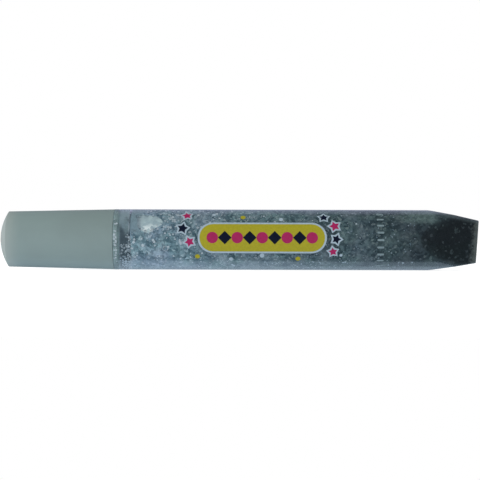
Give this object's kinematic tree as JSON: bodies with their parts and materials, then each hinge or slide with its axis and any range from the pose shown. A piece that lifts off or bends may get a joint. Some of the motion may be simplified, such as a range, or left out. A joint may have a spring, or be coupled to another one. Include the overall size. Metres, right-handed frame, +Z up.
{
  "type": "glitter glue tube",
  "caption": "Clear round tube of glitter glue with a pinched, sealed tail, a threaded head with a tapered nozzle, and a long screw cap with a sealing pin.",
  "frame": {"origin": "midway along the tube, under its axis, on the surface that it lies on", "axes": "+X along the axis from the cap to the pinched tail, +Z up from the surface it lies on, -Y towards the printed side"},
  "size_m": [0.115, 0.0144, 0.0145],
  "materials": {
    "clear_wall": "clear, glossy, thin moulded plastic",
    "clear_head": "clear, glossy moulded plastic",
    "glitter_gel": "clear gel loaded with fine silver glitter",
    "white_plastic": "natural white, satin moulded plastic",
    "cap_plastic": "silver grey-teal, satin moulded plastic"
  },
  "bodies": {
    "tube": {"tube_sleeve": "clear_wall", "head_plug": "clear_head", "nozzle_tip": "white_plastic", "glue_fill": "glitter_gel"},
    "seal": {"seal_plug": "white_plastic"},
    "cap": {"cap_shell": "cap_plastic"}
  },
  "joints": [
    {"name": "cap_rise", "type": "slide", "parent": "tube", "child": "seal", "axis": [-1, 0, 0], "range_m": [0, 0.02]},
    {"name": "cap_turn", "type": "hinge", "parent": "seal", "child": "cap", "pos_m": [-0.03, 0, 0.00723], "axis": [-1, 0, 0], "range_deg": [0, 2401]}
  ],
  "couplings": [
    {"joint": "cap_turn", "follows": "cap_rise", "rad_per_m": 2094.4}
  ]
}
